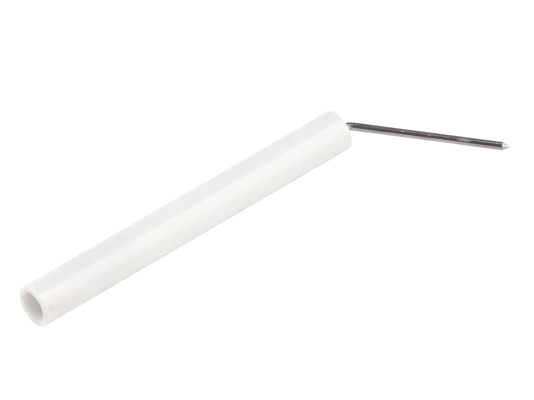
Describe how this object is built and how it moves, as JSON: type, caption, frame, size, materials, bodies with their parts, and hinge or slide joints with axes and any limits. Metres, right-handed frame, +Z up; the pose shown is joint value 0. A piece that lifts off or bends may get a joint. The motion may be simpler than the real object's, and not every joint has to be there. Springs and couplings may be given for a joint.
{
  "type": "flame sensor probe",
  "caption": "Flame sensing electrode: a white glazed ceramic tube with a plug socket at one end and a thin bent metal rod with a ground point at the other.",
  "frame": {"origin": "on the ceramic barrel's axis, halfway between its socket face and its nose face", "axes": "+X along the barrel's axis towards the rod, -X out of the plug socket, +Z up when the probe lies on a bench on its barrel and rod tip; the rod bends towards -Y"},
  "size_m": [0.1553, 0.0412, 0.013],
  "materials": {
    "glazed_ceramic": "gloss",
    "rod_alloy": "polished",
    "ferrule_steel": "satin",
    "cement": "matte",
    "washer_steel": "satin",
    "spring_steel": "satin",
    "nickel_plate": "polished"
  },
  "bodies": {
    "root": {"insulator_tube": "glazed_ceramic", "electrode_rod": "rod_alloy", "stop_ferrule": "ferrule_steel", "nose_cement": "cement", "flat_washer": "washer_steel", "disc_spring": "spring_steel", "terminal_pin": "nickel_plate"}
  },
  "joints": []
}
